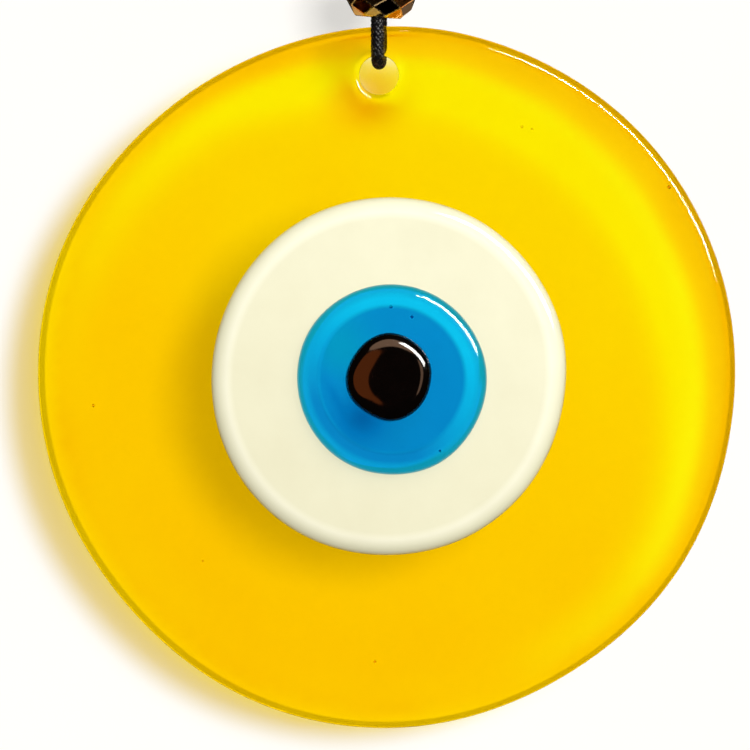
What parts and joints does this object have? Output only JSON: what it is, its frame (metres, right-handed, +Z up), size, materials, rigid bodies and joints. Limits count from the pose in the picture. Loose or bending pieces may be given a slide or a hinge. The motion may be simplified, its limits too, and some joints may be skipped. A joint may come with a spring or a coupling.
{
  "type": "evil eye ornament",
  "caption": "Hanging evil eye ornament: a fused yellow glass disc with white, blue and black layers, on a doubled black cord with a faceted gold bead.",
  "frame": {"origin": "top of the hook that the ornament hangs on, just under the end knot", "axes": "+Z up along the cord, the eye looks along -Y, +X to the right as seen from the front"},
  "size_m": [0.1503, 0.0172, 0.2472],
  "materials": {
    "yellow_glass": "clear yellow glass with fire-polished edges",
    "white_glass": "opaque cream-white glass, glossy",
    "blue_glass": "turquoise-blue glass, glossy",
    "black_glass": "opaque black glass, glossy",
    "gold_bead": "gold-plated moulded plastic with mirror facets",
    "black_cord": "braided black polyester cord, slightly glossy"
  },
  "bodies": {
    "hanger": {"stopper_knot": "black_cord", "hanging_cord_left": "black_cord", "hanging_cord_right": "black_cord", "end_knot": "black_cord", "cord_tails": "black_cord"},
    "suspension": {"suspension_cord": "black_cord"},
    "bead": {"bead": "gold_bead"},
    "eye": {"glass_base": "yellow_glass", "white_disc": "white_glass", "blue_disc": "blue_glass", "pupil": "black_glass"}
  },
  "joints": [
    {"name": "cord_twist", "type": "hinge", "parent": "hanger", "child": "suspension", "pos_m": [0, 0, -0.0555], "axis": [0, 0, 1], "range_deg": [-90, 90]},
    {"name": "bead_spin", "type": "hinge", "parent": "suspension", "child": "bead", "pos_m": [0.00045, 0, -0.0628], "axis": [0.0698, 0, 0.9976], "continuous": true},
    {"name": "disc_swing", "type": "hinge", "parent": "suspension", "child": "eye", "pos_m": [0, 0, -0.0791], "axis": [0, 1, 0], "range_deg": [-13, 20]}
  ]
}
